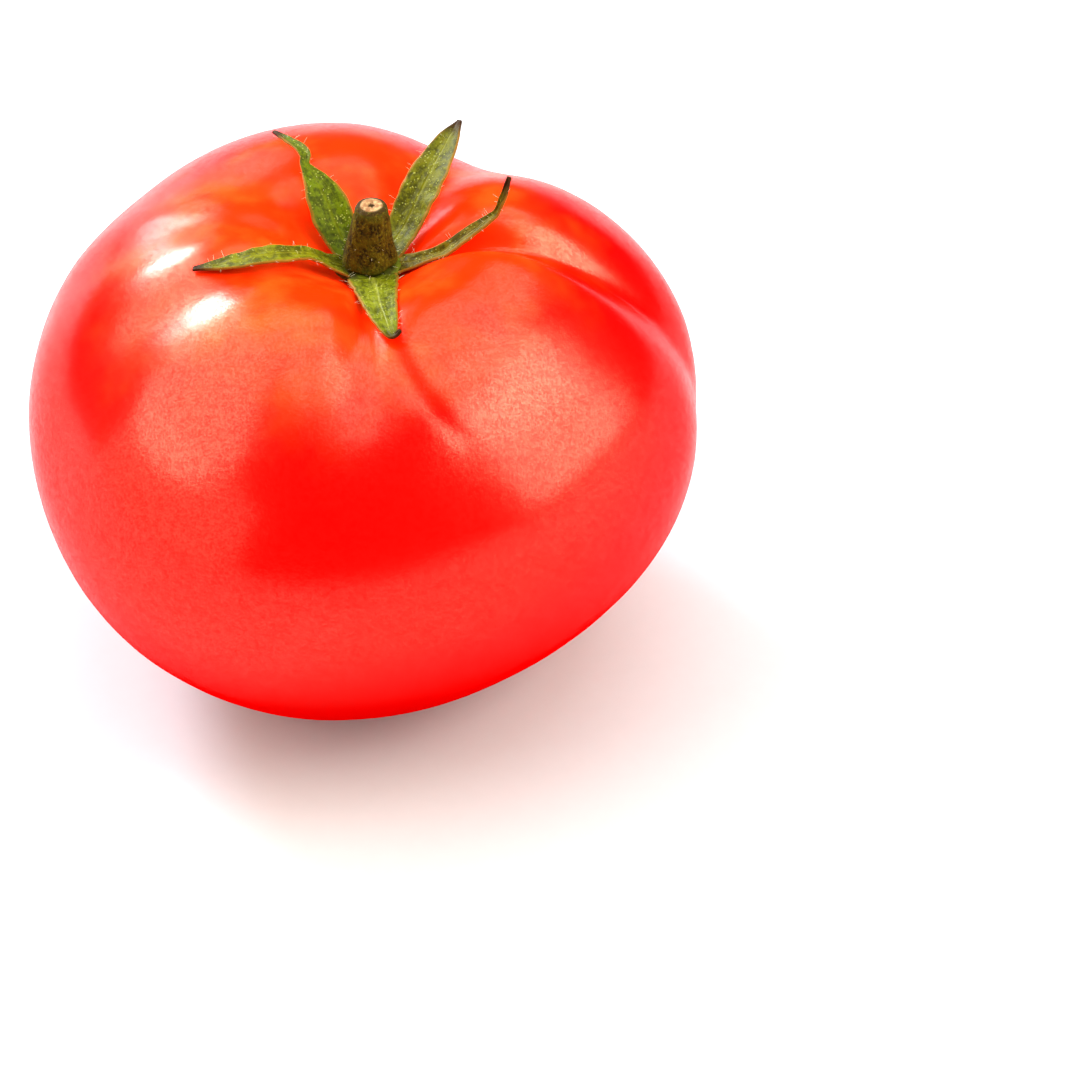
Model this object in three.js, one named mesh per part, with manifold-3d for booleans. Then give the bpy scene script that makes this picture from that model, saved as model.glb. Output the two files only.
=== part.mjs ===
// A ripe beefsteak tomato with its calyx and stem stub, standing on its blossom end.
// Millimetres, Z up. The origin is on the surface it stands on, under the middle of its box.
import * as THREE from "three";
import { mergeVertices } from "three/addons/utils/BufferGeometryUtils.js";
import Module from "manifold-3d";

// Fruit: heights are taken from the widest level, azimuths in degrees from +X
const fruit = {
  radius: 43.3,
  rise: 33.2, // from the widest level to the shoulders' crown
  crown: -0.76, // pulls both ends down a little
  fullness: 0.011,
  fullnessTop: -0.018,
  lopX: -0.053, // the fruit bulges away from +X and towards +Y
  lopY: 0.033,
  threeLobes: 0.029,
  twoLobes: -0.008,
  cavityDepth: 10.2, // where the calyx sits
  cavityRadius: 11,
  seat: 32.7, // the flat spot's depth below the widest level
  scarDepth: 3.4, // dimple of the blossom scar, inside the flat spot
  scarRadius: 5,
  divisions: 24, // faces along each of the twelve edges of the ball
};

// Furrows run down from the cavity between the lobes. Each fades at the latitude where it ends,
// and a share of its depth may go on down the side as a faint dent
const furrows = [
  { azimuth: 61.5, spread: 20, depth: 3.7, ends: 20, softly: 12, side: 0.11 },
  { azimuth: 139, spread: 18, depth: 1.4, ends: 20, softly: 12, side: 0.11 },
  { azimuth: 168, spread: 9, depth: 0.5, ends: 20, softly: 12, side: 0.11 },
  { azimuth: 203, spread: 12, depth: 1, ends: 20, softly: 12, side: 0.11 },
  { azimuth: 266.5, spread: 10, depth: 2.3, ends: 44.5, softly: 7, side: 0 },
  { azimuth: 279, spread: 13, depth: 1.3, ends: 60, softly: 4, side: 0 },
  { azimuth: 357.5, spread: 9, depth: 2.6, ends: 20, softly: 12, side: 0.11 },
];
const furrowMouth = 9; // radius within which furrows fade into the cavity

// Calyx: heights are taken from its level, just above the cavity's floor
const calyxLevel = fruit.rise + fruit.crown - 9.4;
const calyxDisc = { radius: 4.3, under: 0.75, rim: 1.15, top: 1.6, facets: 30 };
const sepalThickness = 0.7;
const sepalGap = 0.85; // air kept under a sepal
const sepalFaces = { across: 4, along: 18 };

// Each sepal: points of azimuth, radius and height along its midline, half widths from root to
// tip, how far it is rolled about its midline, and how deep it is folded
const sepals = {
  left: {
    midline: [
      [196, 2.4, 1.1], [194.5, 4.9, 2.5], [196, 7.4, 4.5], [200, 11, 6],
      [199, 13.6, 6.3], [197.5, 16.3, 6.1], [195, 19.2, 5.6], [192.3, 21.9, 4.9],
    ],
    halfWidths: [2.4, 1.7, 1.6, 1.8, 1.6, 1.1, 0.4],
    roll: 0,
    fold: 0.15,
  },
  backLeft: {
    midline: [
      [134, 2.4, 1.1], [131.5, 4.6, 2.2], [129, 6.4, 3.8], [125.5, 8.6, 5.8],
      [124, 10.6, 7], [123.5, 12.6, 7.8], [123, 13.7, 8.25], [120.3, 14.5, 8.8],
      [119.8, 16.1, 9], [120.6, 18.6, 8.8], [121.2, 21.9, 8.2],
    ],
    halfWidths: [2.4, 2.3, 2.6, 2.7, 2.4, 1.6, 0.75, 0.8, 0.7, 0.55, 0.35],
    roll: 0,
    fold: 0.2,
  },
  backRight: {
    midline: [
      [43, 2.4, 1.1], [44.5, 5.2, 2.3], [46, 7.4, 3.7], [47.5, 9.2, 5.2], [49, 11.2, 6.6],
      [50.5, 13.4, 7.9], [52, 16, 8.9], [53, 18, 9.7], [54, 20.6, 10.4],
    ],
    halfWidths: [2.4, 2.3, 2.6, 2.8, 2.7, 2.2, 1.5, 0.4],
    roll: -8,
    fold: 0.25,
  },
  right: {
    midline: [
      [354, 2.4, 1.1], [354, 5, 1.5], [357, 8.8, 2.6], [361.8, 12.6, 5],
      [363.6, 15.1, 6.7], [364.4, 16, 7.4], [365.5, 16.9, 9.6], [367.6, 17.7, 12],
    ],
    halfWidths: [2.4, 1.5, 1.25, 1.1, 1.05, 0.9, 0.6, 0.5, 0.4],
    roll: 8,
    fold: 0.4,
  },
  front: {
    midline: [
      [277, 2.4, 1.1], [276.5, 4.6, 1.9], [275.8, 7.3, 2.7], [275.4, 12.2, 4.1],
      [276.1, 15.7, 4.7], [276.7, 17.8, 4.8], [278, 19.1, 4.8], [280.5, 19.2, 5.7],
    ],
    halfWidths: [3.2, 3.1, 2.8, 2.5, 2.25, 1.95, 1.6, 1, 0.4],
    roll: 0,
    fold: 0.1,
  },
};

// Stem stub: a flared cone with a chamfered rim round its cut face
const stem = {
  foot: 2, // height of its underside above the calyx level
  height: 8.1,
  baseRadius: 3.4,
  waistRadius: 2.35,
  rimRadius: 2.05,
  cutRadius: 1.6,
  chamfer: 0.5,
  pith: { radius: 0.35, depth: 0.4 },
  ribs: 5,
  ribDepth: 0.05, // share of the radius
  leanX: 0.07, // sideways shift for each millimetre of height
  facets: 30,
};

const degrees = THREE.MathUtils.degToRad;
const gauss = (distance, width) => Math.exp(-((distance / width) ** 2));

// The fruit's skin

// Depth of all the furrows at an azimuth and a latitude in degrees
function furrowDepth(azimuth, latitude) {
  return furrows.reduce((sum, { azimuth: middle, spread, depth, ends, softly, side }) => {
    const away = THREE.MathUtils.euclideanModulo(azimuth - middle + 180, 360) - 180;
    const upper = 1 / (1 + Math.exp((ends - latitude) / softly));
    return sum + depth * gauss(away, spread) * THREE.MathUtils.lerp(side, 1, upper);
  }, 0);
}

// Radius and height of the skin at an azimuth and a latitude in degrees
function skin(azimuth, latitude) {
  const around = degrees(azimuth);
  const cos = Math.cos(degrees(latitude));
  const sin = Math.sin(degrees(latitude));
  const lobed =
    fruit.radius *
    (1 +
      fruit.lopX * Math.cos(around) +
      fruit.lopY * Math.sin(around) +
      fruit.threeLobes * Math.cos(3 * around) +
      fruit.twoLobes * Math.cos(2 * around));
  const full = 1 + (fruit.fullness + fruit.fullnessTop * sin) * (2 * sin * cos) ** 2;
  let radius = lobed * cos * full;
  let height = fruit.rise * sin + fruit.crown * sin ** 2;
  const towardsFlat = THREE.MathUtils.clamp((latitude + 75) / 60, 0, 1);
  const sunk = furrowDepth(azimuth, latitude) * (1 - gauss(radius, furrowMouth)) * towardsFlat;
  radius -= sunk * cos;
  height -= sunk * sin;
  if (latitude > 0) height -= fruit.cavityDepth * gauss(radius, fruit.cavityRadius);
  else height += fruit.scarDepth * gauss(radius, fruit.scarRadius);
  return { radius, height: Math.max(height, -fruit.seat) };
}

// Height of the skin round the cavity at a radius, found by halving the latitude's range
function skinHeight(azimuth, radius) {
  let low = 20;
  let high = 90;
  for (let step = 0; step < 24; step++) {
    const middle = (low + high) / 2;
    if (skin(azimuth, middle).radius > radius) low = middle;
    else high = middle;
  }
  return skin(azimuth, low).height;
}

// A ball of even faces, from a box whose sides are spread over a sphere
function fruitBody() {
  const n = fruit.divisions;
  const ball = welded(new THREE.BoxGeometry(2, 2, 2, n, n, n));
  return reshape(ball, (point) => {
    point.set(...point.toArray().map((side) => Math.tan((side * Math.PI) / 4))).normalize();
    const azimuth = THREE.MathUtils.radToDeg(Math.atan2(point.y, point.x));
    const latitude = THREE.MathUtils.radToDeg(Math.asin(point.z));
    const { radius, height } = skin(azimuth, latitude);
    point.set(radius * Math.cos(degrees(azimuth)), radius * Math.sin(degrees(azimuth)), height);
  });
}

// Small helpers

function welded(geometry) {
  geometry.deleteAttribute("normal");
  geometry.deleteAttribute("uv");
  return mergeVertices(geometry, 1e-4);
}

// Moves every vertex by a function that changes the point it is given
function reshape(geometry, move) {
  const places = geometry.getAttribute("position");
  const point = new THREE.Vector3();
  for (let i = 0; i < places.count; i++) {
    move(point.fromBufferAttribute(places, i));
    places.setXYZ(i, point.x, point.y, point.z);
  }
  return geometry;
}

// A value along a list, at a share from 0 to 1
function along(list, share) {
  const at = THREE.MathUtils.clamp(share, 0, 1) * (list.length - 1);
  const i = Math.min(Math.floor(at), list.length - 2);
  return THREE.MathUtils.lerp(list[i], list[i + 1], at - i);
}

// Lifts a point, given with heights from the widest level, until it clears the skin
function clearOfSkin(point, clearance) {
  const azimuth = THREE.MathUtils.radToDeg(Math.atan2(point.y, point.x));
  const floor = skinHeight(azimuth, Math.hypot(point.x, point.y));
  point.z = Math.max(point.z, floor + clearance);
}

// Calyx

// One sepal as a thin blade, its two faces split into triangles alike
function sepalBlade({ midline, halfWidths, roll, fold }) {
  const curve = new THREE.CatmullRomCurve3(
    midline.map(([azimuth, radius, height]) => {
      const around = degrees(azimuth);
      return new THREE.Vector3(radius * Math.cos(around), radius * Math.sin(around), calyxLevel + height);
    }),
  );
  const grid = new THREE.PlaneGeometry(2, 1, sepalFaces.across, sepalFaces.along);
  const flat = grid.getAttribute("position");
  const middle = [];
  const normals = [];
  for (let i = 0; i < flat.count; i++) {
    const share = flat.getY(i) + 0.5;
    const across = flat.getX(i);
    const tangent = curve.getTangentAt(share);
    const side = new THREE.Vector3(tangent.y, -tangent.x, 0).normalize();
    const free = Math.min(1, 3 * share); // the root lies flat in the disc
    side.applyAxisAngle(tangent, degrees(roll) * free);
    const normal = side.clone().cross(tangent);
    const width = along(halfWidths, share);
    const point = curve.getPointAt(share).addScaledVector(side, across * width);
    point.addScaledVector(normal, free * fold * width * across ** 2);
    clearOfSkin(point, sepalGap + sepalThickness / 2);
    middle.push(point);
    normals.push(normal);
  }
  const places = [1, -1].flatMap((face) =>
    middle.flatMap((point, i) => point.clone().addScaledVector(normals[i], (face * sepalThickness) / 2).toArray()),
  );
  const top = Array.from(grid.index.array);
  const under = top.map((vertex) => vertex + flat.count).reverse();
  return new THREE.BufferGeometry()
    .setAttribute("position", new THREE.Float32BufferAttribute(places, 3))
    .setIndex([...top, ...under, ...bladeRim(sepalFaces.across, sepalFaces.along, flat.count)]);
}

// The faces that join a blade's two sides all round its edge
function bladeRim(across, lengthwise, sideCount) {
  const row = across + 1;
  const edge = [];
  for (let i = 0; i < lengthwise; i++) edge.push(i * row);
  for (let i = 0; i < across; i++) edge.push(lengthwise * row + i);
  for (let i = lengthwise; i > 0; i--) edge.push(i * row + across);
  for (let i = across; i > 0; i--) edge.push(i);
  return edge.flatMap((here, i) => {
    const next = edge[(i + 1) % edge.length];
    return [here, here + sideCount, next + sideCount, here, next + sideCount, next];
  });
}

// The disc that the sepals grow from
function calyxDiscBody() {
  const { radius, under, rim, top, facets } = calyxDisc;
  const profile = [
    [0, under],
    [radius * 0.9, under],
    [radius, rim],
    [radius * 0.9, top],
    [0, top],
  ];
  const disc = new THREE.LatheGeometry(profile.map(([r, h]) => new THREE.Vector2(r, h)), facets);
  return welded(disc.rotateX(Math.PI / 2).translate(0, 0, calyxLevel));
}

const wasm = await Module();
wasm.setup();

function toSolid(geometry) {
  return new wasm.Manifold(
    new wasm.Mesh({
      numProp: 3,
      vertProperties: new Float32Array(geometry.getAttribute("position").array),
      triVerts: new Uint32Array(geometry.index.array),
    }),
  );
}

function joined(geometries) {
  const { vertProperties, triVerts } = geometries
    .map(toSolid)
    .reduce((whole, piece) => whole.add(piece))
    .getMesh();
  return new THREE.BufferGeometry()
    .setAttribute("position", new THREE.BufferAttribute(vertProperties, 3))
    .setIndex(new THREE.BufferAttribute(triVerts, 1));
}

// Stem

function stemBody() {
  const { height, baseRadius, waistRadius, rimRadius, cutRadius, chamfer, pith } = stem;
  const profile = [
    [0, 0],
    [baseRadius * 0.94, 0],
    [baseRadius, height * 0.06],
    [baseRadius * 0.93, height * 0.2],
    [waistRadius * 1.12, height * 0.45],
    [waistRadius, height * 0.6],
    [rimRadius * 1.04, height * 0.8],
    [rimRadius, height - chamfer],
    [cutRadius, height],
    [pith.radius, height],
    [0, height - pith.depth],
  ];
  const stub = new THREE.LatheGeometry(profile.map(([r, h]) => new THREE.Vector2(r, h)), stem.facets);
  return reshape(welded(stub.rotateX(Math.PI / 2)), (point) => {
    const azimuth = Math.atan2(point.y, point.x);
    const ribbed = 1 + stem.ribDepth * Math.cos(stem.ribs * azimuth) * (1 - point.z / height);
    point.x = point.x * ribbed + stem.leanX * point.z;
    point.y *= ribbed;
    point.z += calyxLevel + stem.foot;
  });
}

// The tomato

function piece(name, geometry, colour, roughness) {
  const material = new THREE.MeshStandardMaterial({ color: colour, roughness, metalness: 0 });
  const mesh = new THREE.Mesh(geometry, material);
  mesh.name = name;
  return mesh;
}

const tomato = new THREE.Group();
tomato.add(
  piece("fruit", fruitBody(), 0xf03a1c, 0.25),
  piece("calyx", joined([calyxDiscBody(), ...Object.values(sepals).map(sepalBlade)]), 0x74822a, 0.7),
  piece("stem", stemBody(), 0x4c4a1c, 0.8),
);

// The tomato stands with its flat spot at height 0, and its box is centred on the origin
const box = new THREE.Box3().setFromObject(tomato);
const middle = box.getCenter(new THREE.Vector3());
tomato.position.set(-middle.x, -middle.y, -box.min.z);

export default tomato;
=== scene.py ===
import math
import random

import bmesh
import bpy
from mathutils import Matrix, Vector, noise


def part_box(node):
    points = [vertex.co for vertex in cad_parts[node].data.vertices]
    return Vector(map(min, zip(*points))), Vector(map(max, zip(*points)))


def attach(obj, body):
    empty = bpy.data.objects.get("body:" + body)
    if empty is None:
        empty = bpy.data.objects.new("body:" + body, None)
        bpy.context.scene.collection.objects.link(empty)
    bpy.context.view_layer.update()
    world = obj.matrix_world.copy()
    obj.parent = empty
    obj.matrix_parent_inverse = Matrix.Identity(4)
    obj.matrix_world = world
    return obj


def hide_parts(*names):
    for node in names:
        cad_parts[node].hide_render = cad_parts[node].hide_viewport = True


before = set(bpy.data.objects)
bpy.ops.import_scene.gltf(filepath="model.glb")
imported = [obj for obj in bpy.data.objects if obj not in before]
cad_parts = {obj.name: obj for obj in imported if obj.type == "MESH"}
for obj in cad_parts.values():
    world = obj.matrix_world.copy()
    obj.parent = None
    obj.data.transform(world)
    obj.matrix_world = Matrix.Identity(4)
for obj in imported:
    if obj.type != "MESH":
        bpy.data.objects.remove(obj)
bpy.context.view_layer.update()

mm = 0.001
rng = random.Random(7)


# Small helpers

def gauss(distance, width):
    return math.exp(-((distance / width) ** 2))


def clamp(value, low=0.0, high=1.0):
    return max(low, min(high, value))


def mix(a, b, share):
    return a + (b - a) * share


def smooth(value, start, end):
    share = clamp((value - start) / (end - start))
    return share * share * (3 - 2 * share)


def along(values, share):
    # a value along a list, eased by a Catmull-Rom curve so that widths have no corners
    at = clamp(share) * (len(values) - 1)
    i = min(int(at), len(values) - 2)
    t = at - i
    before, a, b, after = (values[clamp(i + k, 0, len(values) - 1)] for k in (-1, 0, 1, 2))
    return 0.5 * (2 * a + (b - before) * t + (2 * before - 5 * a + 4 * b - after) * t * t
                  + (3 * a - 3 * b + after - before) * t ** 3)


def srgb(red, green, blue):
    # a colour read off in 0 to 255, made linear
    def linear(value):
        value /= 255
        return value / 12.92 if value <= 0.04045 else ((value + 0.055) / 1.055) ** 2.4
    return (linear(red), linear(green), linear(blue), 1.0)


def finishPiece(name, bm, material, replaced=None):
    # turns a bmesh into a smooth piece of the tomato that rides on its one body
    for face in bm.faces:
        face.smooth = True
    mesh = bpy.data.meshes.new(name)
    bm.to_mesh(mesh)
    bm.free()
    mesh.materials.append(material)
    piece = bpy.data.objects.new(name, mesh)
    bpy.context.scene.collection.objects.link(piece)
    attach(piece, "root")
    if replaced:
        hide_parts(replaced)
    return piece


# Shader maths as Python expressions

class Wire:
    # one output socket; sums and products of wires add Math nodes
    def __init__(self, paint, socket):
        self.paint = paint
        self.socket = socket

    def math(self, operation, *others):
        values = {i: value for i, value in enumerate((self, *others))}
        return self.paint.node("ShaderNodeMath", {"operation": operation}, values)

    def flipped(self, operation, other):
        return self.paint.node("ShaderNodeMath", {"operation": operation}, {0: other, 1: self})

    def __add__(self, other): return self.math("ADD", other)
    def __radd__(self, other): return self.flipped("ADD", other)
    def __sub__(self, other): return self.math("SUBTRACT", other)
    def __rsub__(self, other): return self.flipped("SUBTRACT", other)
    def __mul__(self, other): return self.math("MULTIPLY", other)
    def __rmul__(self, other): return self.flipped("MULTIPLY", other)
    def __truediv__(self, other): return self.math("DIVIDE", other)
    def __rtruediv__(self, other): return self.flipped("DIVIDE", other)
    def __pow__(self, other): return self.math("POWER", other)


class Paint:
    # one material and its nodes
    def __init__(self, name):
        self.material = bpy.data.materials.new(name)
        self.material.use_nodes = True
        self.tree = self.material.node_tree
        self.shader = self.tree.nodes["Principled BSDF"]

    def node(self, kind, settings=None, inputs=None, output=0):
        # any node: its settings first, then the values or wires of its sockets
        made = self.tree.nodes.new(kind)
        for key, value in (settings or {}).items():
            setattr(made, key, value)
        for key, value in (inputs or {}).items():
            self.feed(made.inputs[key], value)
        return Wire(self, made.outputs[output])

    def feed(self, socket, value):
        if isinstance(value, Wire):
            self.tree.links.new(value.socket, socket)
        else:
            socket.default_value = value

    def shine(self, **values):
        # the shader's own sockets, named with an underscore for each space
        for key, value in values.items():
            self.feed(self.shader.inputs[key.replace("_", " ")], value)

    def film(self, share, **values):
        # a second shader laid over the first with the given share
        first = self.shader
        self.shader = self.tree.nodes.new("ShaderNodeBsdfPrincipled")
        self.shine(**values)
        layers = {0: share, 1: Wire(self, first.outputs[0]), 2: Wire(self, self.shader.outputs[0])}
        surface = self.tree.nodes["Material Output"].inputs["Surface"]
        self.feed(surface, self.node("ShaderNodeMixShader", None, layers))

    def objectPlace(self, centre=(0, 0, 0)):
        # object coordinates with their origin moved to the centre
        coordinates = self.node("ShaderNodeTexCoord", output="Object")
        return self.node("ShaderNodeMapping", None, {"Vector": coordinates, "Location": -Vector(centre)})

    def stretched(self, place, scale):
        return self.node("ShaderNodeMapping", None, {"Vector": place, "Scale": scale})

    def parts(self, vector):
        return [self.node("ShaderNodeSeparateXYZ", None, {0: vector}, output=i) for i in range(3)]

    def noise(self, place, scale, detail=3.0, roughness=0.5, distortion=0.0):
        return self.node("ShaderNodeTexNoise", None, {"Vector": place, "Scale": scale, "Detail": detail,
                                                     "Roughness": roughness, "Distortion": distortion})

    def cells(self, place, scale):
        # distance from the nearest of many scattered points
        return self.node("ShaderNodeTexVoronoi", None, {"Vector": place, "Scale": scale}, "Distance")

    def step(self, value, start, end, low=0.0, high=1.0):
        # a smooth step from low at start to high at end
        return self.node("ShaderNodeMapRange", {"interpolation_type": "SMOOTHSTEP"},
                         {"Value": value, "From Min": start, "From Max": end, "To Min": low, "To Max": high})

    def blend(self, share, first, second):
        return self.node("ShaderNodeMix", {"data_type": "RGBA"}, {0: share, 6: first, 7: second}, output=2)

    def bump(self, height, distance):
        return self.node("ShaderNodeBump", None, {"Height": height, "Distance": distance, "Strength": 1.0})


# The fruit's skin: the same shape as the solid, in millimetres and degrees, with finer relief

fruit = {
    "radius": 43.3, "rise": 33.2, "crown": -0.76, "fullness": 0.011, "fullnessTop": -0.018,
    "lopX": -0.053, "lopY": 0.033, "threeLobes": 0.029, "twoLobes": -0.008,
    "cavityDepth": 10.2, "cavityRadius": 11, "seat": 32.7, "scarDepth": 3.4, "scarRadius": 5,
    "cuts": 95,  # loops cut across each side of the cube that becomes the ball
    "ripple": 0.16, "rippleSize": 17,  # slow unevenness of a grown skin
    "dimple": 0.035, "dimpleSize": 4.5,
    "evenFrom": 3,  # the relief fades over this height down to the flat resting ring
    "furrowMouth": 9,  # furrows fade out inside this radius, where the stem stands
    "furrowsEnd": -75, "furrowsFade": 60,  # they also fade over these degrees down to that latitude
}
furrows = [  # each fades at the latitude where it ends, and some go on down the side as a faint dent
    {"azimuth": 61.5, "spread": 20, "depth": 3.7, "ends": 20, "softly": 12, "side": 0.11},
    {"azimuth": 139, "spread": 18, "depth": 1.4, "ends": 20, "softly": 12, "side": 0.11},
    {"azimuth": 168, "spread": 9, "depth": 0.5, "ends": 20, "softly": 12, "side": 0.11},
    {"azimuth": 203, "spread": 12, "depth": 1, "ends": 20, "softly": 12, "side": 0.11},
    {"azimuth": 266.5, "spread": 10, "depth": 2.3, "ends": 44.5, "softly": 7, "side": 0},
    {"azimuth": 279, "spread": 13, "depth": 1.3, "ends": 60, "softly": 4, "side": 0},
    {"azimuth": 357.5, "spread": 9, "depth": 2.6, "ends": 20, "softly": 12, "side": 0.11},
]
creases = [  # narrow folds; the first starts under the front sepal's tip and curls to the right
    {"azimuth": 279.5, "spread": 2.6, "depth": 0.32, "ends": 44, "softly": 4, "side": 0, "starts": 62,
     "curl": 9.5, "curlsOver": 23},
    {"azimuth": 358.5, "spread": 3, "depth": 0.45, "ends": 20, "softly": 12, "side": 0.11},
]
calyxSunk = 9.4  # how far the calyx lies below the level that the top would have without its cavity
calyxLevel = fruit["rise"] + fruit["crown"] - calyxSunk


def furrowDepth(azimuth, latitude):
    total = 0
    for furrow in furrows + creases:
        centre = furrow["azimuth"]
        if "curl" in furrow:
            centre += furrow["curl"] * clamp((furrow["starts"] - latitude) / furrow["curlsOver"]) ** 2
        away = (azimuth - centre + 180) % 360 - 180
        upper = 1 / (1 + math.exp(-(latitude - furrow["ends"]) / furrow["softly"]))
        if "starts" in furrow:
            upper /= 1 + math.exp((latitude - furrow["starts"]) / furrow["softly"])
        total += furrow["depth"] * gauss(away, furrow["spread"]) * mix(furrow["side"], 1, upper)
    return total


def skin(azimuth, latitude):
    # radius and height of the skin, from the axis and the widest level
    around = math.radians(azimuth)
    cos = math.cos(math.radians(latitude))
    sin = math.sin(math.radians(latitude))
    lobed = fruit["radius"] * (1 + fruit["lopX"] * math.cos(around) + fruit["lopY"] * math.sin(around)
                               + fruit["threeLobes"] * math.cos(3 * around)
                               + fruit["twoLobes"] * math.cos(2 * around))
    full = 1 + (fruit["fullness"] + fruit["fullnessTop"] * sin) * (2 * sin * cos) ** 2
    radius = lobed * cos * full
    height = fruit["rise"] * sin + fruit["crown"] * sin ** 2
    sunk = furrowDepth(azimuth, latitude) * (1 - gauss(radius, fruit["furrowMouth"]))
    sunk *= clamp((latitude - fruit["furrowsEnd"]) / fruit["furrowsFade"])
    radius -= sunk * cos
    height -= sunk * sin
    if latitude > 0:
        height -= fruit["cavityDepth"] * gauss(radius, fruit["cavityRadius"])
    else:
        height += fruit["scarDepth"] * gauss(radius, fruit["scarRadius"])
    return radius, max(height, -fruit["seat"])


def skinHeight(azimuth, radius):
    # height of the skin's top at a radius, by halving the range of latitudes
    low, high = 20, 90
    for _ in range(22):
        middle = (low + high) / 2
        if skin(azimuth, middle)[0] > radius:
            low = middle
        else:
            high = middle
    return skin(azimuth, low)[1]


def skinPoint(direction):
    azimuth = math.degrees(math.atan2(direction.y, direction.x))
    latitude = math.degrees(math.asin(clamp(direction.z, -1, 1)))
    radius, height = skin(azimuth, latitude)
    around = math.radians(azimuth)
    point = Vector((radius * math.cos(around), radius * math.sin(around), height))
    relief = fruit["ripple"] * noise.noise(point / fruit["rippleSize"])
    relief += fruit["dimple"] * noise.noise(point / fruit["dimpleSize"])
    point += direction * relief * smooth(height, -fruit["seat"], -fruit["seat"] + fruit["evenFrom"])
    return point


def fruitMesh():
    bm = bmesh.new()
    bmesh.ops.create_cube(bm, size=2)
    bmesh.ops.subdivide_edges(bm, edges=bm.edges[:], cuts=fruit["cuts"], use_grid_fill=True)
    for vertex in bm.verts:
        even = Vector([math.tan(side * math.pi / 4) for side in vertex.co])
        vertex.co = skinPoint(even.normalized())
    return bm


fruitForm = fruitMesh()
print("fruit shaped,", len(fruitForm.faces), "faces")

# The axis of the fruit in the frame: the finer skin is set into the box of the solid
fruitLow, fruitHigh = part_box("fruit")
formX = [vertex.co.x for vertex in fruitForm.verts]
formY = [vertex.co.y for vertex in fruitForm.verts]
axisFoot = Vector(((fruitLow.x + fruitHigh.x) / 2 - (min(formX) + max(formX)) / 2 * mm,
                   (fruitLow.y + fruitHigh.y) / 2 - (min(formY) + max(formY)) / 2 * mm, 0))
waist = axisFoot + Vector((0, 0, fruit["seat"] * mm))  # where the axis meets the widest level
toFrame = Matrix.Translation(waist) @ Matrix.Scale(mm, 4)


# Camera: the photograph's angle and framing

view = {"elevation": 40, "distance": 0.461, "lens": 120, "sensor": 36, "side": 1080,
        "waistAt": (379.9, 407.8)}  # the pixel of the photograph where the waist point lies
pixelsPerRadian = view["lens"] / view["sensor"] * view["side"]
tilt = math.radians(view["elevation"])
viewRight = Vector((1, 0, 0))
viewUp = Vector((0, math.sin(tilt), math.cos(tilt)))
viewBack = Vector((0, -math.cos(tilt), math.sin(tilt)))
aside = (view["side"] / 2 - view["waistAt"][0]) / pixelsPerRadian * view["distance"]
below = (view["side"] / 2 - view["waistAt"][1]) / pixelsPerRadian * view["distance"]
aim = waist + viewRight * aside - viewUp * below
cameraData = bpy.data.cameras.new("camera")
cameraData.lens = view["lens"]
cameraData.sensor_width = view["sensor"]
cameraData.clip_start = 0.01
camera = bpy.data.objects.new("camera", cameraData)
camera.location = waist + viewBack * view["distance"]
camera.rotation_mode = "QUATERNION"
camera.rotation_quaternion = (aim - camera.location).to_track_quat("-Z", "Y")
bpy.context.scene.collection.objects.link(camera)
bpy.context.scene.camera = camera


# Skin material: red flesh showing through a thin glossy skin, orange round the shoulders

skinLook = {
    "deep": (0.85, 0.0001, 0.0001, 1), "red": (0.9, 0.0003, 0.0001, 1), "orange": (0.95, 0.02, 0.0005, 1),
    "amber": (0.97, 0.075, 0.006, 1), "under": (0.7, 0.0001, 0.0001, 1),
    "scar": (0.25, 0.1, 0.035, 1), "crack": (0.05, 0.02, 0.008, 1),
    # radii and heights over the waist, in millimetres, between which a colour or the wax comes in
    "shoulderEnd": 34, "shoulderStart": 15, "tongues": 26, "ragged": 9, "toRight": 0.12,
    "shoulderLow": 9, "shoulderHigh": 24, "underHigh": -6, "underLow": -22,
    "ringEnd": 6, "ringStart": 2.5, "scarEnd": 2.6, "scarStart": 1.7, "scarHigh": -20, "scarLow": -26,
    "waxLow": -16, "waxHigh": 0, "waxInner": 10, "waxOuter": 21, "waxInside": 0.25,
    "dullLeft": -24, "dullRight": 8,
    "roughness": 0.3, "relief": 0.02,
    "filmColour": (1, 0.6, 0.33, 1), "filmShare": 0.042, "filmRoughness": 0.22,
    "coatRoughness": 0.2, "coatIor": 1.42,
}
skinPatterns = {  # how many to the metre, detail, roughness and, for one, swirl
    "blotch": (80, 3, 0.55), "soft": (130, 2, 0.5), "mottle": (230, 4, 0.6, 0.3), "fine": (900, 3, 0.6),
    "grain": (3300, 3, 0.7),
}
# the fold below the front sepal holds a painted shadow; these numbers place it
frontFoldShadow = {  # where the skin folds below the front sepal, in millimetres from the axis
    "lean": 0.167, "curl": 0.173, "curlFrom": 17, "curlOver": 14.5, "halfWidth": 1.8,
    "inner": 15, "innerFull": 18, "outerFull": 25, "outer": 32, "frontOnly": -8,
}


def frontFoldShadowMask(paint, x, y, radius):
    # one along the middle of the fold where the shadow is painted, nothing beside it and behind the stem
    curl = ((radius - frontFoldShadow["curlFrom"]) / frontFoldShadow["curlOver"]) ** 2 * frontFoldShadow["curl"]
    away = ((x + y * (curl + frontFoldShadow["lean"])) / mm).math("ABSOLUTE")
    outside = paint.step(radius, frontFoldShadow["inner"], frontFoldShadow["innerFull"])
    inside = paint.step(radius, frontFoldShadow["outer"], frontFoldShadow["outerFull"])
    inFront = paint.step(y / mm, 0, frontFoldShadow["frontOnly"])
    return paint.step(away, frontFoldShadow["halfWidth"], 0.1) * outside * inside * inFront


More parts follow.
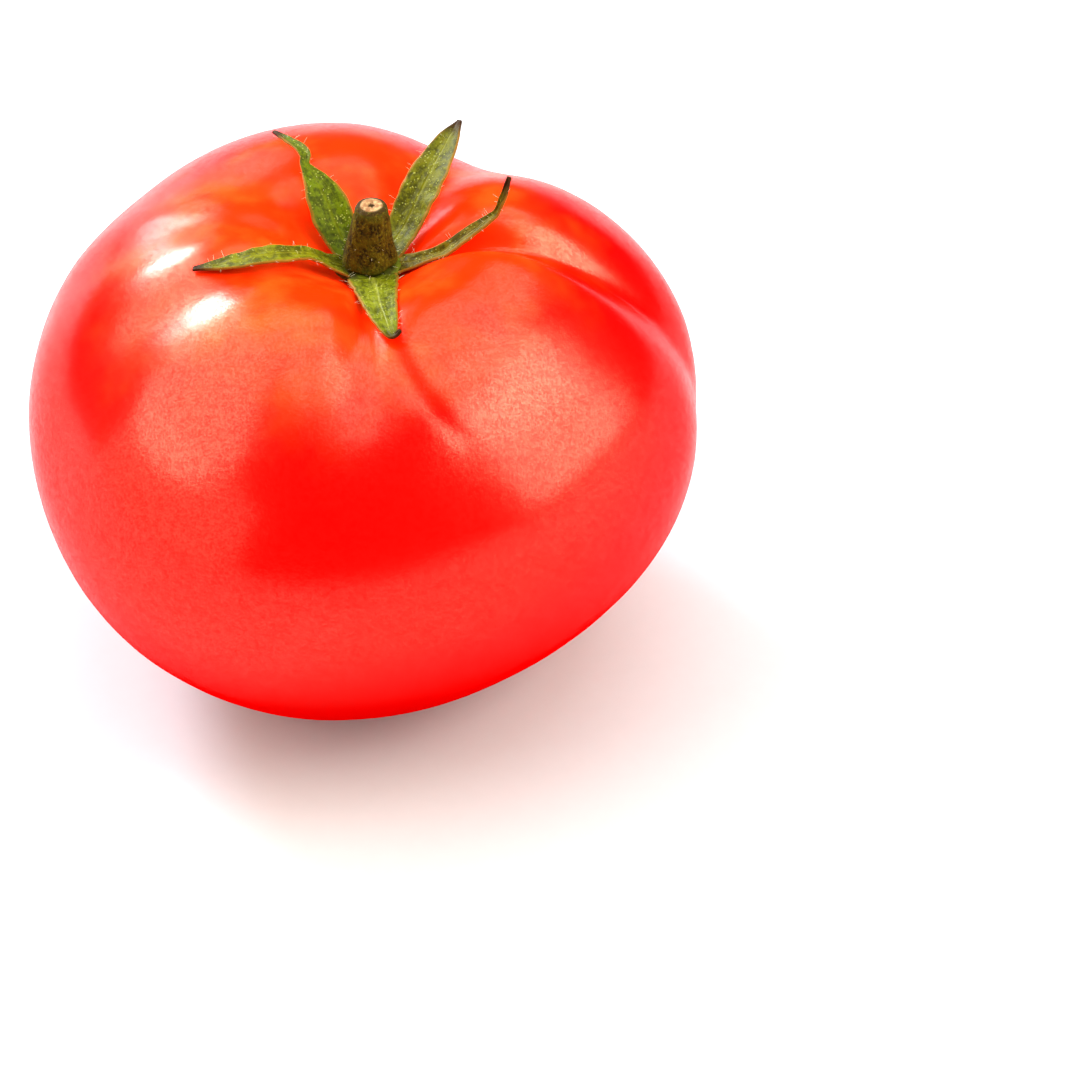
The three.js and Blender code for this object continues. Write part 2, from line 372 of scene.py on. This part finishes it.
def skinMaterial():
    paint = Paint("tomatoSkin")
    place = paint.objectPlace(centre=waist)
    x, y, z = paint.parts(place)
    radius = (x * x + y * y) ** 0.5 / mm
    height = z / mm
    blotch, soft, mottle, fine, grain = (paint.noise(place, *pattern) for pattern in skinPatterns.values())
    # orange shoulders fade out down the sides along uneven tongues
    reach = radius + (blotch - 0.5) * skinLook["tongues"] + (mottle - 0.5) * skinLook["ragged"]
    reach = reach + x / mm * skinLook["toRight"]
    shoulder = paint.step(reach, skinLook["shoulderEnd"], skinLook["shoulderStart"])
    shoulder = shoulder * paint.step(height, skinLook["shoulderLow"], skinLook["shoulderHigh"])
    colour = paint.blend(paint.step(blotch, 0.35, 0.7), skinLook["deep"], skinLook["red"])
    colour = paint.blend(shoulder, colour, skinLook["orange"])
    patches = paint.step(soft + (mottle - 0.5) * 0.5, 0.4, 0.8)
    colour = paint.blend(patches * shoulder * 0.65, colour, skinLook["amber"])
    # painted shade: towards the bottom the colour darkens to a duller red, where less light falls
    under = paint.step(height, skinLook["underHigh"], skinLook["underLow"])
    colour = paint.blend(under, colour, skinLook["under"])
    # a shadow is painted in the fold below the front sepal: its colour is darkened towards deep red, and it
    # is nearly free of gloss
    fold = frontFoldShadowMask(paint, x, y, radius)
    colour = paint.blend(fold * 0.6, colour, skinLook["deep"])
    # a corky, cracked blossom scar in an orange ring
    below = paint.step(height, skinLook["scarHigh"], skinLook["scarLow"])
    ragged = radius + (mottle - 0.5) * 3 + (fine - 0.5) * 2.5
    ring = paint.step(ragged, skinLook["ringEnd"], skinLook["ringStart"]) * below
    colour = paint.blend(ring * 0.5, colour, skinLook["orange"])
    scar = paint.step(ragged, skinLook["scarEnd"], skinLook["scarStart"]) * below
    colour = paint.blend(scar, colour, skinLook["scar"])
    colour = paint.blend(scar * paint.step(fine, 0.45, 0.6), colour, skinLook["crack"])
    relief = (grain - 0.5) * 0.9 + (fine - 0.5) * 0.8 + (mottle - 0.5) * 1.2
    normal = paint.bump(relief, skinLook["relief"] * mm)
    # uneven wax gives the gloss a fine grain; it is thin low down, in the cavity and in the fold
    speck = 0.45 + paint.step(grain + (fine - 0.5) * 0.3, 0.38, 0.62) * 0.6
    outward = radius + (mottle - 0.5) * 8
    wax = speck * paint.step(height, skinLook["waxLow"], skinLook["waxHigh"])
    wax = wax * paint.step(outward, skinLook["waxInner"], skinLook["waxOuter"], skinLook["waxInside"], 1.0)
    wax = wax * (1 - fold * 0.8)
    # a clear coat shines more towards the outline, and a warm film shines less on the right flank
    turnedAway = paint.node("ShaderNodeLayerWeight", output="Facing")
    coat = wax * (1 - scar) * paint.step(turnedAway, 0.65, 0.95, 0.4, 0.75)
    dulled = paint.step(turnedAway, 0.25, 0.6, 0.0, 0.9)
    dulled = dulled * paint.step(x / mm, skinLook["dullLeft"], skinLook["dullRight"])
    paint.shine(Base_Color=colour, Roughness=skinLook["roughness"] + grain * 0.05 + scar * 0.4, IOR=1.45,
                Specular_IOR_Level=0, Coat_Weight=coat, Coat_Roughness=skinLook["coatRoughness"],
                Coat_IOR=skinLook["coatIor"], Normal=normal)
    paint.film(wax * (1 - dulled) * skinLook["filmShare"], Base_Color=skinLook["filmColour"], Metallic=1,
               Roughness=skinLook["filmRoughness"], Normal=normal)
    return paint.material


fruitForm.transform(toFrame)
bmesh.ops.recalc_face_normals(fruitForm, faces=fruitForm.faces[:])
finishPiece("tomatoFruit", fruitForm, skinMaterial(), "fruit")
print("fruit done")


# Sepals: thin leaves on curved midlines, in millimetres over the calyx level

sepals = {  # each point of a midline: azimuth, radius, height over the calyx level
    "Left": {
        "midline": [(196, 2.4, 1.1), (194.5, 4.9, 2.5), (196, 7.4, 4.5), (200, 11, 6), (199, 13.6, 6.3),
                    (197.5, 16.3, 6.1), (195, 19.2, 5.6), (192.3, 21.9, 4.9)],
        "halfWidths": [2.4, 1.7, 1.6, 1.8, 1.6, 1.1, 0.3],
        "roll": 0, "fold": 0.15, "ribs": 0.1,
        "green": (100, 102, 5), "pale": (132, 128, 18), "brown": 0.35,
    },
    "BackLeft": {
        "midline": [(134, 2.4, 1.1), (131.5, 4.6, 2.2), (129, 6.4, 3.8), (125.5, 8.6, 5.8), (124, 10.6, 7),
                    (123.5, 12.6, 7.8), (123, 13.7, 8.25), (120.3, 14.5, 8.8), (119.8, 16.1, 9),
                    (120.6, 18.6, 8.8), (121.2, 21.9, 8.2)],
        "halfWidths": [2.4, 2.3, 2.6, 2.7, 2.4, 1.6, 0.7, 0.8, 0.65, 0.5, 0.2],
        "roll": 0, "fold": 0.2, "ribs": 0.05,
        "green": (82, 98, 3), "pale": (116, 126, 12), "brown": 0.6,
    },
    "BackRight": {
        "midline": [(43, 2.4, 1.1), (44.5, 5.2, 2.3), (46, 7.4, 3.7), (47.5, 9.2, 5.2), (49, 11.2, 6.6),
                    (50.5, 13.4, 7.9), (52, 16, 8.9), (53, 18, 9.7), (54, 20.6, 10.4)],
        "halfWidths": [2.4, 2.3, 2.6, 2.8, 2.7, 2.2, 1.5, 0.3],
        "roll": -8, "fold": 0.25, "ribs": 0.06,
        "green": (88, 90, 4), "pale": (120, 118, 16), "brown": 0.45,
    },
    "Right": {
        "midline": [(354, 2.4, 1.1), (354, 5, 1.5), (357, 8.8, 2.6), (361.8, 12.6, 5), (363.6, 15.1, 6.7),
                    (364.4, 16, 7.4), (365.5, 16.9, 9.6), (367.6, 17.7, 12)],
        "halfWidths": [2.4, 1.5, 1.25, 1.1, 1.05, 0.9, 0.55, 0.5, 0.25],
        "roll": 8, "fold": 0.4, "ribs": 0.06,
        "green": (96, 84, 6), "pale": (134, 116, 22), "brown": 0.6,
    },
    "Front": {
        "midline": [(277, 2.4, 1.1), (276.5, 4.6, 1.9), (275.8, 7.3, 2.7), (275.4, 12.2, 4.1),
                    (276.1, 15.7, 4.7), (276.7, 17.8, 4.8), (278, 19.1, 4.8), (280.5, 19.2, 5.7)],
        "halfWidths": [3.2, 3.1, 2.8, 2.5, 2.25, 1.95, 1.6, 1, 0.2],
        "roll": 0, "fold": 0.1, "ribs": 0.06,
        "green": (98, 106, 10), "pale": (146, 150, 62), "brown": 0.3,
    },
}
leaf = {
    "thickness": 0.4, "gap": 0.25,  # the least gap between a sepal and the skin below it
    "across": 12, "along": 64, "samples": 160,
    "narrowest": 0.05, "unevenEdge": 0.07, "waves": 0.14,
    "stretch": (14, 3, 1), "streaks": (1, 4, 0.6), "patches": (500, 4, 0.6), "grains": (1700, 4, 0.7),
    "glandCells": 2600, "glandClumps": 900, "relief": 0.2,
    "gland": (190, 196, 90), "rust": (74, 44, 8), "edge": (128, 88, 26), "tip": (46, 24, 8),
}
greenGloss = {"IOR": 1.45, "Specular_IOR_Level": 0.14, "Specular_Tint": (1, 0.95, 0.45, 1)}


def midlinePoints(sepal):
    # evenly spaced points on a smooth curve through the midline
    knots = []
    for azimuth, radius, height in sepal["midline"]:
        around = math.radians(azimuth)
        knots.append(Vector((radius * math.cos(around), radius * math.sin(around), calyxLevel + height)))
    fineLine = [Vector([along([knot[k] for knot in knots], i / leaf["samples"]) for k in range(3)])
                for i in range(leaf["samples"] + 1)]
    reached = [0.0]
    for a, b in zip(fineLine, fineLine[1:]):
        reached.append(reached[-1] + (b - a).length)
    even = []
    j = 0
    for i in range(leaf["along"] + 1):
        target = reached[-1] * i / leaf["along"]
        while j < leaf["samples"] - 1 and reached[j + 1] < target:
            j += 1
        share = (target - reached[j]) / (reached[j + 1] - reached[j])
        even.append(fineLine[j].lerp(fineLine[j + 1], share))
    return even


def leafFrames(sepal):
    # each station along the midline: its point, its sideways and upward directions, how far along it is,
    # and how free it is of the root
    points = midlinePoints(sepal)
    frames = []
    for i, point in enumerate(points):
        tangent = (points[min(i + 1, len(points) - 1)] - points[max(i - 1, 0)]).normalized()
        side = Vector((tangent.y, -tangent.x, 0)).normalized()
        share = i / (len(points) - 1)
        free = min(1, 3 * share)
        side.rotate(Matrix.Rotation(math.radians(sepal["roll"]) * free, 3, tangent))
        frames.append((point, side, side.cross(tangent), share, free))
    return frames


def leafPoint(sepal, station, across):
    point, side, up, share, free = station
    width = max(leaf["narrowest"], along(sepal["halfWidths"], share))
    seed = sepal["midline"][0][0]
    edge = 1 + leaf["unevenEdge"] * noise.noise(Vector((share * 14, across, seed)))
    place = point + side * across * width * edge
    lift = free * sepal["fold"] * width * across ** 2
    lift += sepal["ribs"] * math.cos(across * 3 * math.pi) * free * (1 - share) ** 0.5
    lift += leaf["waves"] * noise.noise(Vector((share * 16, across * 1.6, seed)))
    place += up * lift
    azimuth = math.degrees(math.atan2(place.y, place.x))
    skinTop = skinHeight(azimuth, math.hypot(place.x, place.y))
    place.z = max(place.z, skinTop + leaf["gap"] + leaf["thickness"] / 2)
    return place


def leafMaterial(name, sepal):
    paint = Paint("sepalGreen" + name)
    uv = paint.node("ShaderNodeTexCoord", output="UV")
    place = paint.objectPlace(centre=waist)
    u, v, _ = paint.parts(uv)
    aside = (u * 2 - 1).math("ABSOLUTE")
    streaks = paint.noise(paint.stretched(uv, leaf["stretch"]), *leaf["streaks"])
    patches = paint.noise(place, *leaf["patches"])
    grains = paint.noise(place, *leaf["grains"])
    glands = paint.step(paint.cells(place, leaf["glandCells"]), 0.34, 0.16)
    glands = glands * paint.step(paint.noise(place, leaf["glandClumps"]), 0.42, 0.58)
    green = srgb(*sepal["green"])
    pale = srgb(*sepal["pale"])
    dark = tuple(0.3 * value for value in green[:3]) + (1,)
    colour = paint.blend(paint.step(patches * 0.45 + grains * 0.55, 0.42, 0.58), dark, green)
    colour = paint.blend(paint.step(streaks, 0.5, 0.8) * 0.45, colour, pale)
    colour = paint.blend(paint.step(aside, 0.14, 0.02) * 0.3, colour, pale)
    colour = paint.blend(glands * 0.5, colour, srgb(*leaf["gland"]))
    # rusty patches, a brown edge and a dry tip
    rustFrom = 1.15 - sepal["brown"] * 0.5
    rust = paint.step(patches + aside * 0.25 + v * 0.3, rustFrom, rustFrom + 0.3)
    colour = paint.blend(rust * 0.8, colour, srgb(*leaf["rust"]))
    edge = paint.step(aside + (patches - 0.5) * 0.2, 0.84, 0.95)
    colour = paint.blend(edge * 0.8, colour, srgb(*leaf["edge"]))
    colour = paint.blend(paint.step(v + (patches - 0.5) * 0.15, 0.84, 0.97), colour, srgb(*leaf["tip"]))
    midrib = paint.step(aside, 0.1, 0.0)
    relief = streaks * 0.4 + patches * 0.5 + grains * 0.6 + glands * 0.5 - midrib * 0.5
    paint.shine(Base_Color=colour, Roughness=0.42 - glands * 0.15 + rust * 0.2,
                Normal=paint.bump(relief, leaf["relief"] * mm), **greenGloss)
    return paint.material


def leafMesh(sepal):
    stations = leafFrames(sepal)
    bm = bmesh.new()
    bmesh.ops.create_grid(bm, x_segments=leaf["across"], y_segments=leaf["along"], size=1)
    uvLayer = bm.loops.layers.uv.new("UVMap")
    for face in bm.faces:
        for loop in face.loops:
            loop[uvLayer].uv = ((loop.vert.co.x + 1) / 2, (loop.vert.co.y + 1) / 2)
    for vertex in bm.verts:
        row = round((vertex.co.y + 1) / 2 * leaf["along"])
        vertex.co = leafPoint(sepal, stations[row], vertex.co.x)
    bm.transform(toFrame)
    bmesh.ops.recalc_face_normals(bm, faces=bm.faces[:])
    return bm


for name, sepal in sepals.items():
    piece = finishPiece("sepal" + name, leafMesh(sepal), leafMaterial(name, sepal), "calyx")
    shell = piece.modifiers.new("thickness", "SOLIDIFY")
    shell.thickness = leaf["thickness"] * mm
    shell.offset = 0
    rounding = piece.modifiers.new("rounding", "SUBSURF")
    rounding.levels = rounding.render_levels = 1
print("sepals done")


# The disc that the sepals grow from

disc = {
    "profile": [(0, 0.3), (3.6, 0.6), (4.3, 1.0), (4.2, 1.45), (3.4, 1.7), (0, 1.8)], "steps": 48,
    "uneven": 0.06, "unevenSize": 2, "patches": (600, 4, 0.6), "specks": (3000, 2, 0.6), "relief": 0.15,
    "dark": (34, 34, 6), "green": (80, 92, 12), "speck": (128, 132, 50),
}


def spunMesh(profile, steps, base=0.0):
    # a profile of radius and height, spun about the axis
    bm = bmesh.new()
    verts = [bm.verts.new((radius, 0, base + height)) for radius, height in profile]
    edges = [bm.edges.new(pair) for pair in zip(verts, verts[1:])]
    bmesh.ops.spin(bm, geom=verts + edges, cent=(0, 0, 0), axis=(0, 0, 1), angle=math.tau, steps=steps,
                   use_merge=True)
    bmesh.ops.remove_doubles(bm, verts=bm.verts[:], dist=1e-4)
    bmesh.ops.recalc_face_normals(bm, faces=bm.faces[:])
    return bm


def discMaterial():
    paint = Paint("calyxGreen")
    place = paint.objectPlace(centre=waist)
    patches = paint.noise(place, *disc["patches"])
    specks = paint.noise(place, *disc["specks"])
    colour = paint.blend(paint.step(patches, 0.35, 0.65), srgb(*disc["dark"]), srgb(*disc["green"]))
    colour = paint.blend(paint.step(specks, 0.6, 0.75) * 0.4, colour, srgb(*disc["speck"]))
    normal = paint.bump(patches + specks * 0.4, disc["relief"] * mm)
    paint.shine(Base_Color=colour, Roughness=0.6, Normal=normal, **greenGloss)
    return paint.material


discForm = spunMesh(disc["profile"], disc["steps"], calyxLevel)
for vertex in discForm.verts:
    spread = 1 + disc["uneven"] * noise.noise(vertex.co / disc["unevenSize"])
    vertex.co.x *= spread
    vertex.co.y *= spread
discForm.transform(toFrame)
finishPiece("calyxDisc", discForm, discMaterial(), "calyx")


# Stem stub

stem = {
    "foot": 1.7, "height": 8.4, "leanX": 0.07, "steps": 96, "ribs": 5, "ribDepth": 0.06, "ribTurn": 0.6,
    "outline": [(0, 0), (2.6, 0), (3.2, 0.12), (3.42, 0.5), (3.3, 1.2), (3.0, 2.4), (2.72, 3.8), (2.5, 5.2),
                (2.3, 6.4), (2.16, 7.2), (2.08, 7.7), (2.02, 7.98), (1.84, 8.26), (1.6, 8.4), (1.3, 8.42),
                (0, 8.2)],
    "bumps": 0.035, "bumpsAround": 2.4, "bumpHeight": 2.2,
    "stretch": (1, 1, 0.45), "streaks": (1400, 4, 0.65), "patches": (450, 4, 0.6), "fine": (2800, 3, 0.7),
    "relief": 0.35,
    # heights over the foot between which a colour comes in
    "rimStart": 7.0, "rimFull": 7.9, "crustStart": 8.0, "crustFull": 8.25, "rootStart": 1.6, "rootFull": 0.3,
    "footRadius": 3.3, "taper": 0.17,  # for the hairs' roots
    "patternAt": 4,  # the height whose lean the bark's pattern is centred on
    "dark": (18, 11, 2), "olive": (70, 58, 5), "patch": (84, 78, 7), "rim": (64, 64, 10),
    "crust": (50, 30, 10), "root": (74, 80, 12), "speck": (112, 104, 24),
}


def stemShape(bm):
    for vertex in bm.verts:
        x, y, z = vertex.co
        azimuth = math.atan2(y, x)
        ribs = math.cos(stem["ribs"] * azimuth + stem["ribTurn"]) * (1 - z / stem["height"])
        around = stem["bumpsAround"]
        spot = Vector((math.cos(azimuth) * around, math.sin(azimuth) * around, z / stem["bumpHeight"]))
        ribbed = 1 + stem["ribDepth"] * ribs + stem["bumps"] * noise.noise(spot)
        vertex.co = (x * ribbed + stem["leanX"] * z, y * ribbed, z + calyxLevel + stem["foot"])
    bm.transform(toFrame)


def stemMaterial():
    paint = Paint("stemBark")
    foot = waist + Vector((stem["leanX"] * stem["patternAt"], 0, calyxLevel + stem["foot"])) * mm
    place = paint.objectPlace(centre=foot)
    _, _, z = paint.parts(place)
    height = z / mm
    streaks = paint.noise(paint.stretched(place, stem["stretch"]), *stem["streaks"])
    patches = paint.noise(place, *stem["patches"])
    fine = paint.noise(place, *stem["fine"])
    bark = paint.step(streaks * 0.6 + fine * 0.4, 0.4, 0.6)
    colour = paint.blend(bark, srgb(*stem["dark"]), srgb(*stem["olive"]))
    colour = paint.blend(paint.step(patches, 0.48, 0.66) * 0.6, colour, srgb(*stem["patch"]))
    rim = paint.step(height + (patches - 0.5) * 1.6, stem["rimStart"], stem["rimFull"])
    colour = paint.blend(rim * 0.6, colour, srgb(*stem["rim"]))
    crust = paint.step(height + (fine - 0.5) * 0.5, stem["crustStart"], stem["crustFull"])
    colour = paint.blend(crust * 0.85, colour, srgb(*stem["crust"]))
    root = paint.step(height + (patches - 0.5) * 2, stem["rootStart"], stem["rootFull"])
    colour = paint.blend(root * 0.6, colour, srgb(*stem["root"]))
    colour = paint.blend(paint.step(fine, 0.54, 0.66) * 0.45, colour, srgb(*stem["speck"]))
    relief = streaks + patches * 0.6 + fine * 0.8
    paint.shine(Base_Color=colour, Roughness=0.55 + fine * 0.2, IOR=1.45, Specular_IOR_Level=0.14,
                Specular_Tint=(1, 0.9, 0.4, 1), Normal=paint.bump(relief, stem["relief"] * mm))
    return paint.material


stemForm = spunMesh(stem["outline"], stem["steps"])
bmesh.ops.subdivide_edges(stemForm, edges=stemForm.edges[:], cuts=1, use_grid_fill=True)
stemShape(stemForm)
finishPiece("stemStub", stemForm, stemMaterial(), "stem")

# The dry cut face, with a torn hole at the pith
cut = {
    "profile": [(0, -0.5), (0.2, -0.45), (0.36, -0.1), (0.55, 0.03), (0.9, 0.06), (1.35, 0.03), (1.5, -0.12),
                (1.35, -0.4), (0, -0.7)],
    "steps": 64, "proud": 0.03,  # how far it stands over the stem's height
    "hole": 0.36, "arms": 5, "armTurn": 0.5, "tear": 0.35, "tearWidth": 0.25,
    "uneven": 0.06, "unevenPerMm": 2.1, "pores": 5200, "patches": (1500, 4, 0.6), "relief": 0.1,
    # radii between which the darker edge and pith come in
    "edgeStart": 1.2, "edgeFull": 1.55, "pithStart": 0.5, "pithFull": 0.25,
    "tan": (128, 86, 46), "cream": (176, 148, 100), "pore": (110, 66, 32), "edge": (60, 44, 14),
    "pith": (70, 40, 20),
}


def cutMaterial():
    paint = Paint("stemCut")
    place = paint.objectPlace(centre=waist + Vector((stem["leanX"] * stem["height"] * mm, 0, 0)))
    x, y, _ = paint.parts(place)
    radius = (x * x + y * y) ** 0.5 / mm
    pores = paint.step(paint.cells(place, cut["pores"]), 0.32, 0.14)
    patches = paint.noise(place, *cut["patches"])
    colour = paint.blend(paint.step(patches, 0.4, 0.65), srgb(*cut["tan"]), srgb(*cut["cream"]))
    colour = paint.blend(pores * 0.5, colour, srgb(*cut["pore"]))
    edge = paint.step(radius + (patches - 0.5) * 0.6, cut["edgeStart"], cut["edgeFull"])
    colour = paint.blend(edge, colour, srgb(*cut["edge"]))
    pith = paint.step(radius, cut["pithStart"], cut["pithFull"])
    colour = paint.blend(pith, colour, srgb(*cut["pith"]))
    paint.shine(Base_Color=colour, Roughness=0.85, IOR=1.45,
                Normal=paint.bump(patches - pores * 0.5, cut["relief"] * mm))
    return paint.material


cutForm = spunMesh(cut["profile"], cut["steps"], stem["height"] + cut["proud"])
for vertex in cutForm.verts:
    azimuth = math.atan2(vertex.co.y, vertex.co.x)
    radius = math.hypot(vertex.co.x, vertex.co.y)
    arms = math.cos(cut["arms"] * azimuth + cut["armTurn"])
    torn = 1 + cut["tear"] * arms * gauss(radius - cut["hole"], cut["tearWidth"])
    vertex.co.x *= torn
    vertex.co.y *= torn
    vertex.co.z += cut["uneven"] * noise.noise(vertex.co * cut["unevenPerMm"])
stemShape(cutForm)
finishPiece("stemCutFace", cutForm, cutMaterial(), "stem")
print("stem done")


# Fine hairs along the sepals' edges and round the stem's foot

hair = {
    "radius": 0.017, "tip": 0.006, "sunk": 0.05, "shortest": 0.4, "longest": 1.1, "stray": 0.35,
    "onSepal": 22, "edgeShare": 0.75, "edge": 0.97,  # most of them grow at an edge, a little inside it
    "onStem": 34, "upTo": 4,  # up to this height above the stem's foot, most of them low
    "patches": 900, "dark": (210, 205, 160), "pale": (245, 240, 215),
}


def hairMaterial():
    paint = Paint("leafHair")
    patches = paint.noise(paint.objectPlace(centre=waist), hair["patches"])
    colour = paint.blend(patches, srgb(*hair["dark"]), srgb(*hair["pale"]))
    paint.shine(Base_Color=colour, Roughness=0.45, IOR=1.5)
    return paint.material


def addHair(bm, root, direction):
    length = rng.uniform(hair["shortest"], hair["longest"])
    stray = Vector([rng.uniform(-hair["stray"], hair["stray"]) for _ in range(3)])
    direction = (direction + stray).normalized()
    turned = direction.to_track_quat("Z", "Y").to_matrix().to_4x4()
    middle = root + direction * (length / 2 - hair["sunk"])
    bmesh.ops.create_cone(bm, cap_ends=True, segments=4, radius1=hair["radius"], radius2=hair["tip"],
                          depth=length, matrix=Matrix.Translation(middle) @ turned)


hairForm = bmesh.new()
for sepal in sepals.values():
    stations = leafFrames(sepal)
    for _ in range(hair["onSepal"]):
        station = stations[rng.randrange(4, len(stations) - 6)]
        _, side, up, _, _ = station
        atEdge = rng.random() < hair["edgeShare"]
        across = rng.choice((-hair["edge"], hair["edge"])) if atEdge else rng.uniform(-0.9, 0.9)
        outward = side * math.copysign(1.0 if atEdge else 0.2, across)
        addHair(hairForm, leafPoint(sepal, station, across), outward + up * rng.uniform(0.1, 0.9))
for _ in range(hair["onStem"]):
    azimuth = rng.uniform(0, math.tau)
    height = rng.uniform(0.1, 1) ** 2 * hair["upTo"]
    outward = Vector((math.cos(azimuth), math.sin(azimuth), 0))
    axisPoint = Vector((stem["leanX"] * height, 0, calyxLevel + stem["foot"] + height))
    root = outward * (stem["footRadius"] - stem["taper"] * height) + axisPoint
    addHair(hairForm, root, outward + Vector((0, 0, 0.3)))
hairForm.transform(toFrame)
finishPiece("leafHairs", hairForm, hairMaterial())
print("hairs done")


# Floor, light and surroundings

room = {"floorSize": 3, "floorDark": (0.5, 0.515, 0.545, 1), "floorPale": (0.52, 0.535, 0.565, 1),
        "floorGrain": (400, 2), "ambient": (0.08, 0.08, 0.08, 1)}


def floorMaterial():
    paint = Paint("paleFloor")
    grain = paint.noise(paint.objectPlace(), *room["floorGrain"])
    colour = paint.blend(grain, room["floorDark"], room["floorPale"])
    paint.shine(Base_Color=colour, Roughness=0.7, Specular_IOR_Level=0.2)
    return paint.material


floorForm = bmesh.new()
bmesh.ops.create_grid(floorForm, x_segments=1, y_segments=1, size=room["floorSize"])
floorMesh = bpy.data.meshes.new("floor")
floorForm.to_mesh(floorMesh)
floorForm.free()
floorMesh.materials.append(floorMaterial())
floor = bpy.data.objects.new("floor", floorMesh)
bpy.context.scene.collection.objects.link(floor)

# Each light: the azimuth and elevation that it comes from, its distance, its width and height in metres,
# how bright it looks, its shape and its colour
white, warm, cool = (1, 1, 1), (1, 0.92, 0.8), (0.85, 0.94, 1.1)
lights = {
    "backLeftKey": {"at": (125, 26), "distance": 0.9, "size": (0.23, 0.25), "glow": 46,
                    "shape": "ELLIPSE", "colour": cool},
    "backLeftLow": {"at": (118, 11), "distance": 0.9, "size": (0.1, 0.15), "glow": 12,
                    "shape": "ELLIPSE", "colour": cool},
    "backLeftHalo": {"at": (131, 35), "distance": 0.9, "size": (0.34, 0.54), "glow": 4.5,
                     "shape": "ELLIPSE", "colour": white},
    "backLeftWall": {"at": (114, 16), "distance": 0.9, "size": (0.36, 0.7), "glow": 1.6,
                     "shape": "ELLIPSE", "colour": white},
    "leftSoftbox": {"at": (173, 45), "distance": 0.8, "size": (0.97, 0.68), "glow": 4.4,
                    "shape": "ELLIPSE", "colour": warm},
    "rightSoftbox": {"at": (345, 28), "distance": 0.8, "size": (0.55, 0.75), "glow": 8,
                     "shape": "RECTANGLE", "colour": warm},
    "rightGlow": {"at": (351, 48), "distance": 0.8, "size": (0.54, 0.56), "glow": 3.4,
                  "shape": "ELLIPSE", "colour": warm},
    "topSoftbox": {"at": (62, 72), "distance": 0.8, "size": (0.85, 1.05), "glow": 2.6,
                   "shape": "ELLIPSE", "colour": white},
    "frontFill": {"at": (198, 10), "distance": 0.9, "size": (1.3, 1.0), "glow": 1.9,
                  "shape": "RECTANGLE", "colour": warm},
}


def addLight(name, light):
    # an area light that faces the waist of the fruit; its power follows from its size and its glow
    width, height = light["size"]
    data = bpy.data.lights.new(name, "AREA")
    data.shape = light["shape"]
    data.size = width
    data.size_y = height
    data.energy = light["glow"] * math.pi * width * height
    data.color = light["colour"]
    lamp = bpy.data.objects.new(name, data)
    turn, rise = (math.radians(angle) for angle in light["at"])
    toLamp = Vector((math.cos(turn) * math.cos(rise), math.sin(turn) * math.cos(rise), math.sin(rise)))
    lamp.location = waist + toLamp * light["distance"]
    lamp.rotation_mode = "QUATERNION"
    lamp.rotation_quaternion = (-toLamp).to_track_quat("-Z", "Y")
    lamp.visible_camera = False
    bpy.context.scene.collection.objects.link(lamp)


for name, light in lights.items():
    addLight(name, light)

world = bpy.data.worlds.new("studio")
world.use_nodes = True
world.node_tree.nodes["Background"].inputs["Color"].default_value = room["ambient"]
bpy.context.scene.world = world
bpy.context.scene.view_settings.view_transform = "Standard"
print("stage set")
